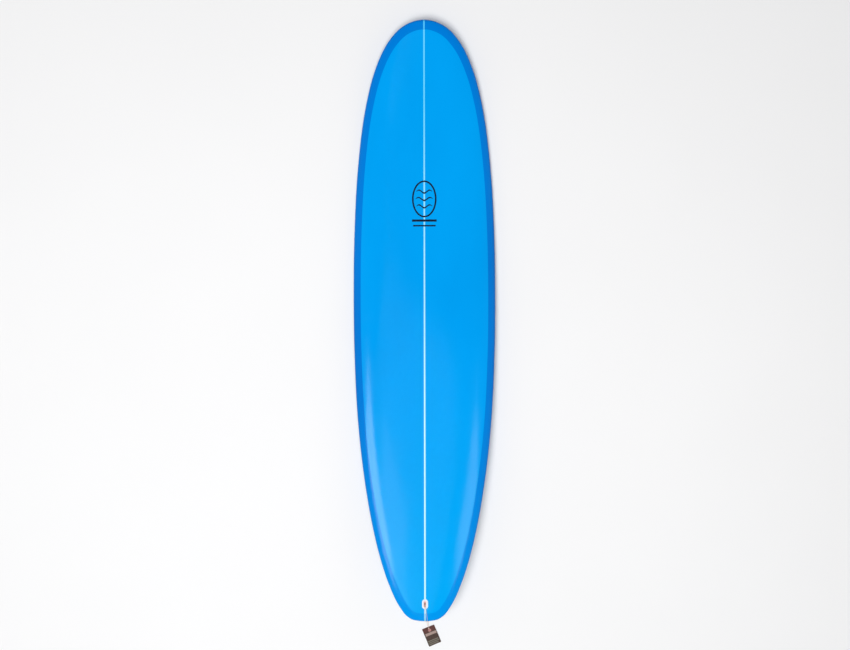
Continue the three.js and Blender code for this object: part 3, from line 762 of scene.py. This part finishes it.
def make_side_box(name, side):
    frame_of_box = side_frame(side)
    width, length, depth = SIDE_BOX
    slot_width, slot_length, slot_depth = SIDE_SLOT
    hole, mouth, lean = GRUB_HOLE
    rings = [
        rounded_ring(width, length, width / 2, depth),
        *edge_rings(width, length, 0, BOX_EDGE, 1),
        *cup_rings(slot_width, slot_length, SIDE_SLOT_CORNER, 0, slot_depth, BOX_EDGE, SLOT_OFFSET),
    ]
    obj = loft(f"{name}_fin_box_moulding", rings, frame_of_box)
    leaning = frame_of_box @ Matrix.Translation((0, mouth, 0)) @ Matrix.Rotation(lean, 4, "X")
    boolean(obj, "DIFFERENCE", column(hole, hole, hole / 2, *GRUB_HOLE_REACH, leaning))
    shade(obj)
    finished(obj, "board", f"{name}_fin_box", "white_plastic", WHITE_PLASTIC)


# ---- Fins ----

def blade_ring(fin, height):
    """One section of a fin: a foil that is widest a third of the way aft."""
    fullness = (1 - FIN_TAPER * height) * math.sqrt(1 - height ** FIN_TIP_POWER)
    middle = -fin["rake"] * height ** FIN_RAKE_POWER
    chord = fin["chord"] * fullness
    thick = max(fin["thickness"] * fullness, FIN_THINNEST)
    inside = fin["inside_share"]
    centring = (0.5 - inside) * fin["thickness"]

    def at(share, side):
        swell = FOIL_SWELL * math.sqrt(share) * (1 - share) * thick * side
        return (swell - centring, middle + chord * (0.5 - share), -fin["depth"] * height - GAP)

    shares = [(1 - math.cos(i / FIN_SIDE_STEPS * math.pi)) / 2 for i in range(1, FIN_SIDE_STEPS)]
    outer = [at(share, 1 - inside) for share in shares]
    inner = [at(share, -inside) for share in reversed(shares)]
    return [at(0, 0), *outer, at(1, 0), *inner]


def fin_block(width, length, low, high, y, place):
    """A tab or tongue with its top edges eased."""
    rings = [
        rounded_ring(width, length, TAB_EDGE, low, y),
        rounded_ring(width, length, TAB_EDGE, high - TAB_EDGE, y),
        rounded_ring(width - 2 * TAB_EDGE, length - 2 * TAB_EDGE, TAB_EDGE, high, y),
    ]
    return loft("block", rings, place)


def make_fin(name, fin, place, side=1, holes=()):
    heights = [math.sin(i / FIN_ROWS * math.pi / 2) for i in range(FIN_ROWS)]
    rings = [blade_ring(fin, height) for height in heights]
    tip = (0, -fin["rake"], -fin["depth"] - GAP)
    rings.append([tip] * len(rings[0]))
    offset = Matrix.Translation((0, fin["offset"], 0))
    obj = loft(f"{name}_foil", rings, place @ offset)
    width, length, high = fin["tab"]
    boolean(obj, "UNION", fin_block(width, length, -CUT_MARGIN - GAP, high, 0, place @ offset))
    if fin["tongue"]:
        reach, low, high = fin["tongue"]
        middle = length / 2 + reach / 2 - CUT_MARGIN
        boolean(obj, "UNION", fin_block(width, reach + 2 * CUT_MARGIN, low, high, middle, place @ offset))
    boolean(obj, "DIFFERENCE", *holes)
    if side < 0:
        edit(obj, lambda bm: bmesh.ops.scale(bm, vec=(-1, 1, 1), verts=bm.verts))
        edit(obj, lambda bm: bmesh.ops.reverse_faces(bm, faces=bm.faces))
    shade(obj, FIN_CREASE)
    finished(obj, name, name, "fin_plastic", FIN_COMPOSITE)


def make_fins():
    place = CENTRE_FRAME @ Matrix.Translation((0, CENTRE_FIN["offset"], 0))
    hole, hole_from, hole_to = FIN_SCREW_HOLE
    screw_hole = column(hole, hole, hole / 2, hole_from, hole_to, place, FIN_SCREW_AHEAD)
    pin_hole = crosswise_rod(*ROLL_PIN_HOLE, place)
    make_fin("centre_fin", CENTRE_FIN, CENTRE_FRAME, holes=(screw_hole, pin_hole))
    for name, side in (("left_fin", -1), ("right_fin", 1)):
        make_fin(name, SIDE_FIN, side_frame(side), side)


# ---- The printed decal: a plain oval with waves, and two bars under it ----

def ribbon(left, right):
    """A strip between two lines in plan, as points and faces."""
    points = [(x, y) for pair in zip(left, right) for x, y in pair]
    return points, grid_faces(len(left), 2)


def oval_ribbon(width, length, stroke):
    outer, inner = [], []
    for i in range(OVAL_STEPS + 1):
        angle = 2 * math.pi * i / OVAL_STEPS
        x, y = math.cos(angle), math.sin(angle)
        outer.append((width / 2 * x, length / 2 * y))
        inner.append(((width / 2 - stroke) * x, (length / 2 - stroke) * y))
    return ribbon(outer, inner)


def wave_ribbon(x_from, x_to, y):
    upper, lower = [], []
    for i in range(WAVE_STEPS + 1):
        share = i / WAVE_STEPS
        x = x_from + (x_to - x_from) * share
        middle = y + DECAL_WAVE_HEIGHT * math.sin(2 * math.pi * DECAL_WAVES * share)
        taper = math.sin(math.pi * share) ** DECAL_WAVE_TAPER
        upper.append((x, middle + DECAL_STROKE / 2 * taper))
        lower.append((x, middle - DECAL_STROKE / 2 * taper))
    return ribbon(upper, lower)


def bar_ribbon(width, height, y):
    xs = [width * (i / BAR_STEPS - 0.5) for i in range(BAR_STEPS + 1)]
    return ribbon([(x, y + height / 2) for x in xs], [(x, y - height / 2) for x in xs])


def make_decal():
    width, length = DECAL_SIZE
    strips = [oval_ribbon(width, length, DECAL_STROKE)]
    for row in (-1, 0, 1):
        y = row * DECAL_WAVE_SPACING
        reach = (width / 2 - DECAL_WAVE_INSET * DECAL_STROKE) * math.sqrt(1 - (y / (length / 2)) ** 2)
        strips.append(wave_ribbon(-reach, reach, y))
    for y, bar_width, height in DECAL_BARS:
        strips.append(bar_ribbon(bar_width, height, y - DECAL_Y))
    points, faces = [], []
    for strip_points, strip_faces in strips:
        faces += [tuple(i + len(points) for i in face) for face in strip_faces]
        points += strip_points
    placed = [(x, y + DECAL_Y, float(deck_height(x, y + DECAL_Y)) + DECAL_PROUD) for x, y in points]
    obj = add_object("deck_print", placed, faces)
    weld(obj)
    modifier = obj.modifiers.new("thickness", "SOLIDIFY")
    modifier.thickness = 2 * DECAL_PROUD
    modifier.offset = -1
    apply_modifiers(obj)
    shade(obj)
    finished(obj, "board", "deck_decal", "deck_print", PRINT)


# ---- The hang tag ----

def make_tag():
    width, length, thick = TAG_SIZE
    hole, inset = TAG_HOLE
    across, along = TAG_COLUMNS, TAG_ROWS
    points = []
    for z in (0, thick):
        for j in range(along + 1):
            for i in range(across + 1):
                points.append((width * (i / across - 0.5), length * (j / along - 0.5), z))
    layer = (across + 1) * (along + 1)
    sheet = grid_faces(along + 1, across + 1)
    faces = [tuple(reversed(face)) for face in sheet]
    faces += [tuple(i + layer for i in face) for face in sheet]
    rim = [*range(across + 1), *range(2 * across + 1, layer, across + 1)]
    rim += [*range(layer - 2, layer - across - 2, -1), *range(layer - 2 * across - 2, 0, -across - 1)]
    for a, b in zip(rim, rim[1:] + rim[:1]):
        faces.append((a, b, b + layer, a + layer))
    obj = add_object("hang_tag_card", points, faces, TAG_FRAME)
    weld(obj)
    boolean(obj, "INTERSECT", column(width, length, TAG_CORNER, *TAG_CUT, TAG_FRAME))
    boolean(obj, "DIFFERENCE", column(hole, hole, hole / 2, *TAG_CUT, TAG_FRAME, length / 2 - inset))
    for vertex in obj.data.vertices:
        bent = abs(vertex.co.x + vertex.co.y / 2) / (width / 2 + length / 4)
        vertex.co.z += TAG_CURL * bent ** 3
    shade(obj)
    finished(obj, "board", "hang_tag", "tag_card", TAG_CARD)


# ---- Materials ----

def node(tree, kind, inputs, **settings):
    """A shader node. Each input is a value or another node's output."""
    made = tree.nodes.new("ShaderNode" + kind)
    for key, value in settings.items():
        setattr(made, key, value)
    for key, value in inputs.items():
        if isinstance(value, bpy.types.NodeSocket):
            tree.links.new(value, made.inputs[key])
        else:
            made.inputs[key].default_value = value
    return made


def new_material(name, roughness, metallic=0, **sockets):
    material = bpy.data.materials.new(name)
    material.use_nodes = True
    shader = material.node_tree.nodes["Principled BSDF"]
    shader.inputs["Roughness"].default_value = roughness
    shader.inputs["Metallic"].default_value = metallic
    for key, value in sockets.items():
        shader.inputs[key.replace("_", " ")].default_value = value
    return material, material.node_tree, shader


def place_on_piece(tree, stretch=(1, 1, 1)):
    place = node(tree, "TexCoord", {}).outputs["Object"]
    return node(tree, "Mapping", {"Vector": place, "Scale": stretch}).outputs["Vector"]


def noise(tree, size, stretch=(1, 1, 1), detail=3):
    """Random patches from 0 to 1, each about size metres across, divided by stretch along each axis."""
    place = place_on_piece(tree, stretch)
    return node(tree, "TexNoise", {"Vector": place, "Scale": 1 / size, "Detail": detail}).outputs["Fac"]


def remap(tree, value, low, high, to_low=0, to_high=1):
    inputs = {"Value": value, "From Min": low, "From Max": high, "To Min": to_low, "To Max": to_high}
    return node(tree, "MapRange", inputs).outputs["Result"]


def from_noise(tree, noise_value, to_low=0, to_high=1):
    """A noise texture's usual values spread over a range."""
    return remap(tree, noise_value, *NOISE_RANGE, to_low, to_high)


def blend(tree, factor, first, second):
    """A colour between two colours."""
    mix = node(tree, "Mix", {0: factor}, data_type="RGBA")
    for index, value in ((6, first), (7, second)):
        if isinstance(value, bpy.types.NodeSocket):
            tree.links.new(value, mix.inputs[index])
        else:
            mix.inputs[index].default_value = (*value, 1)
    return mix.outputs[2]


def math_node(tree, operation, first, second):
    return node(tree, "Math", {0: first, 1: second}, operation=operation).outputs[0]


def add_bump(tree, shader, height, strength, distance):
    bump = node(tree, "Bump", {"Height": height, "Strength": strength, "Distance": distance})
    tree.links.new(bump.outputs["Normal"], shader.inputs["Normal"])


def add_resin_waves(tree, shader):
    size, strength, height = RESIN_WAVES
    add_bump(tree, shader, noise(tree, size, detail=2), strength, height)


def tinted_resin(name, deep, light, at_tail, gloss):
    """Tinted polyester resin over glass cloth: soft clouds, faint cloth threads and a slightly wavy gloss."""
    material, tree, shader = new_material(name, RESIN_ROUGHNESS, Specular_IOR_Level=gloss)
    clouds = noise(tree, RESIN_CLOUDS, stretch=(1, 0.5, 1), detail=4)
    weft = noise(tree, CLOTH_THREADS, stretch=(THREAD_THINNESS, 1, 1))
    warp = noise(tree, CLOTH_THREADS, stretch=(1, THREAD_THINNESS, 1))
    threads = math_node(tree, "MULTIPLY", math_node(tree, "ADD", weft, warp), THREADS_SHOW)
    depth = math_node(tree, "ADD", from_noise(tree, clouds, 0, CLOUDS_SHOW), threads)
    along = node(tree, "SeparateXYZ", {"Vector": place_on_piece(tree)}).outputs["Y"]
    # The colour turns lighter towards the tail.
    towards_tail = remap(tree, along, *LIGHTER_TOWARDS_TAIL)
    colour = blend(tree, towards_tail, blend(tree, depth, deep, light), at_tail)
    tree.links.new(colour, shader.inputs["Base Color"])
    smoothest, roughest = RESIN_ROUGHNESS - RESIN_ROUGHNESS_VARIES, RESIN_ROUGHNESS + RESIN_ROUGHNESS_VARIES
    roughness = from_noise(tree, noise(tree, RESIN_PATCHES), smoothest, roughest)
    tree.links.new(roughness, shader.inputs["Roughness"])
    add_resin_waves(tree, shader)
    return material


def wood_through_resin(name, at_nose, at_tail, gloss):
    """The pale stringer seen through the tint, with its grain; it shows paler towards the tail."""
    material, tree, shader = new_material(name, RESIN_ROUGHNESS, Specular_IOR_Level=gloss)
    along = node(tree, "SeparateXYZ", {"Vector": place_on_piece(tree)}).outputs["Y"]
    colour = blend(tree, remap(tree, along, *WOOD_PALES), at_nose, at_tail)
    patches = noise(tree, WOOD_GRAIN, stretch=(20, 0.6, 20), detail=5)
    grain = from_noise(tree, patches, 0, WOOD_GRAIN_SHOWS)
    tree.links.new(blend(tree, grain, colour, at_nose), shader.inputs["Base Color"])
    add_resin_waves(tree, shader)
    return material


def mottled(
    name, dark, light, size, roughness, stretch=(1, 1, 1), grain=(0.1, 0.0002), metallic=0, **sockets,
):
    """A plain stuff whose colour varies a little in patches, and its roughness and surface in finer ones."""
    material, tree, shader = new_material(name, roughness, metallic, **sockets)
    patches = noise(tree, size, stretch, detail=4)
    fine = noise(tree, size / 6, stretch, detail=3)
    tree.links.new(blend(tree, from_noise(tree, patches), dark, light), shader.inputs["Base Color"])
    smoothest, roughest = roughness * (1 - UNEVENNESS), min(1, roughness * (1 + UNEVENNESS))
    uneven = from_noise(tree, fine, smoothest, roughest)
    tree.links.new(uneven, shader.inputs["Roughness"])
    strength, distance = grain
    add_bump(tree, shader, fine, strength, distance)
    return material


def inside_box(tree, place, x_range, y_range):
    """1 inside a rectangle of a piece's own X and Y, and 0 outside it."""
    split = node(tree, "SeparateXYZ", {"Vector": place})
    mask = 1.0
    for axis, (low, high) in (("X", x_range), ("Y", y_range)):
        for edge, way in ((low, 1), (high, -1)):
            blur = way * TAG_PRINT_BLUR
            side = remap(tree, split.outputs[axis], edge - blur, edge + blur)
            mask = math_node(tree, "MULTIPLY", mask, side)
    return mask


def tag_card():
    """Dark card with plain printed blocks and a reddish disc."""
    material, tree, shader = new_material("tag_card", 0.6)
    place = place_on_piece(tree)
    fibres = from_noise(tree, noise(tree, TAG_FIBRES, stretch=(1, 0.3, 1), detail=4))
    colour = blend(tree, fibres, *TAG_BROWNS)
    for x_range, y_range, tint in TAG_BLOCKS:
        mask = inside_box(tree, place, x_range, y_range)
        worn = math_node(tree, "MULTIPLY", mask, remap(tree, fibres, 0, 1, TAG_PRINT_WORN, 1))
        colour = blend(tree, worn, colour, tint)
    centre = node(tree, "VectorMath", {0: place, 1: TAG_DISC_AT}, operation="DISTANCE").outputs["Value"]
    disc = remap(tree, centre, TAG_DISC_RADIUS + TAG_DISC_BLUR, TAG_DISC_RADIUS - TAG_DISC_BLUR)
    tree.links.new(blend(tree, disc, colour, TAG_DISC_COLOUR), shader.inputs["Base Color"])
    add_bump(tree, shader, fibres, *TAG_BUMP)
    return material


DECK_TINT = tinted_resin("deck_tint", DECK_DEEP, DECK_LIGHT, DECK_AT_TAIL, DECK_GLOSS)
LAP_TINT = tinted_resin("lap_tint", LAP_DEEP, LAP_LIGHT, LAP_AT_TAIL, LAP_GLOSS)
STRINGER_THROUGH_DECK = wood_through_resin(
    "stringer_through_deck", (0.13, 0.62, 0.92), (0.7, 0.93, 0.97), DECK_GLOSS,
)
STRINGER_THROUGH_LAP = wood_through_resin(
    "stringer_through_lap", (0.08, 0.5, 0.84), (0.3, 0.75, 0.92), LAP_GLOSS,
)
WHITE_PLASTIC = mottled("white_plastic", (0.78, 0.79, 0.82), (0.86, 0.87, 0.9), size=0.004, roughness=0.35)
CUP_LINING = mottled("cup_lining", (0.9, 0.55, 0.55), (0.96, 0.66, 0.66), size=0.003, roughness=0.5)
FIN_COMPOSITE = mottled(
    "fin_composite", (0.008, 0.009, 0.011), (0.022, 0.024, 0.028), size=0.006, roughness=0.28,
    stretch=(1, 0.25, 1), Coat_Weight=0.4,
)
STAINLESS = mottled(
    "stainless", (0.5, 0.51, 0.52), (0.66, 0.67, 0.68), size=0.002, roughness=0.28,
    stretch=(1, 1, 0.1), metallic=1,
)
BRASS = mottled(
    "brass", (0.55, 0.36, 0.12), (0.7, 0.48, 0.18), size=0.002, roughness=0.32,
    stretch=(0.1, 1, 1), metallic=1,
)
TWINE = mottled(
    "twine", (0.5, 0.36, 0.3), (0.78, 0.62, 0.53), size=0.0008, roughness=0.9,
    grain=(0.5, 0.0001), Sheen_Weight=0.25,
)
PRINT = mottled(
    "print", (0.003, 0.006, 0.02), (0.006, 0.014, 0.04), size=0.01, roughness=0.3, Coat_Weight=0.3,
)
FOAM = mottled(
    "foam", (0.8, 0.78, 0.7), (0.88, 0.86, 0.79), size=0.004, roughness=0.9, grain=(0.4, 0.0005),
)
WOOD = mottled(
    "stringer_wood", (0.52, 0.36, 0.2), (0.72, 0.55, 0.34), size=0.02, roughness=0.6, stretch=(20, 0.5, 20),
)
TAG_CARD = tag_card()

CAD_FINISHES = {
    "foam_blank_left": FOAM,
    "foam_blank_right": FOAM,
    "stringer": WOOD,
    "leash_plug_pin": STAINLESS,
    "centre_fin_roll_pin": BRASS,
    "centre_fin_plate": STAINLESS,
    "centre_fin_screw": STAINLESS,
    "left_fin_screw": STAINLESS,
    "right_fin_screw": STAINLESS,
}


def finish_cad_nodes():
    for name, material in CAD_FINISHES.items():
        for material_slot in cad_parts[name].material_slots:
            material_slot.material = material


# ---- Floor and light ----

def make_floor():
    """The pale floor. It is seen only from above, and lets the soft light from below reach the underside."""
    half = FLOOR_SIZE / 2
    corners = ((-half, -half), (half, -half), (half, half), (-half, half))
    floor = add_object("floor", [(x, y, FLOOR_AT + FLOOR_SLOPE * y) for x, y in corners], [(0, 1, 2, 3)])
    floor.visible_diffuse = False
    floor.visible_glossy = False
    material, tree, shader = new_material("floor", FLOOR_ROUGHNESS, Specular_IOR_Level=FLOOR_GLOSS)
    colour = blend(tree, noise(tree, FLOOR_PATCHES), FLOOR_DARK, FLOOR_LIGHT)
    tree.links.new(colour, shader.inputs["Base Color"])
    below = node(tree, "NewGeometry", {}).outputs["Backfacing"]
    distance = node(tree, "VectorMath", {0: place_on_piece(tree)}, operation="LENGTH").outputs["Value"]
    faded = math_node(tree, "MAXIMUM", below, remap(tree, distance, *FLOOR_FADES))
    clear = node(tree, "BsdfTransparent", {}).outputs["BSDF"]
    either = node(tree, "MixShader", {0: faded, 1: shader.outputs["BSDF"], 2: clear}).outputs["Shader"]
    tree.links.new(either, tree.nodes["Material Output"].inputs["Surface"])
    floor.data.materials.append(material)


def soft_box(name, place, size, power, gloss_only):
    data = bpy.data.lights.new(name, "AREA")
    data.shape = "RECTANGLE"
    data.size, data.size_y = size
    data.energy = power
    light = bpy.data.objects.new(name, data)
    light.location = place
    light.rotation_euler = (-Vector(place)).to_track_quat("-Z", "Y").to_euler()
    light.visible_camera = False
    light.visible_glossy = gloss_only
    light.visible_diffuse = not gloss_only
    bpy.context.scene.collection.objects.link(light)


def make_world():
    """Soft white light from below and the sides, dark overhead so the gloss doesn't wash out the tint."""
    world = bpy.data.worlds.new("studio")
    world.use_nodes = True
    tree = world.node_tree
    direction = node(tree, "TexCoord", {}).outputs["Generated"]
    height = node(tree, "SeparateXYZ", {"Vector": direction}).outputs["Z"]
    lower_half = remap(tree, height, *HORIZON, SKY_BELOW, SKY_SIDES)
    strength = remap(tree, height, *DARK_OVERHEAD, lower_half, SKY_TOP)
    seen = node(tree, "LightPath", {}).outputs["Is Camera Ray"]
    strength = remap(tree, seen, 0, 1, strength, BACKDROP)
    tree.nodes["Background"].inputs["Color"].default_value = (1, 1, 1, 1)
    tree.links.new(strength, tree.nodes["Background"].inputs["Strength"])
    bpy.context.scene.world = world


# ---- The whole ----

make_camera()
make_tag()
make_string("tag_string_left", LEFT_STRING, (make_knot(),))
make_string("tag_string_right", RIGHT_STRING)
make_deck_laminate()
make_bottom_laminate()
make_leash_plug()
make_centre_box()
for side_name, side_sign in (("left", -1), ("right", 1)):
    make_side_box(side_name, side_sign)
make_fins()
make_decal()
finish_cad_nodes()
make_floor()
for soft_box_settings in SOFT_BOXES:
    soft_box(*soft_box_settings)
make_world()
bpy.context.scene.view_settings.view_transform = "Standard"
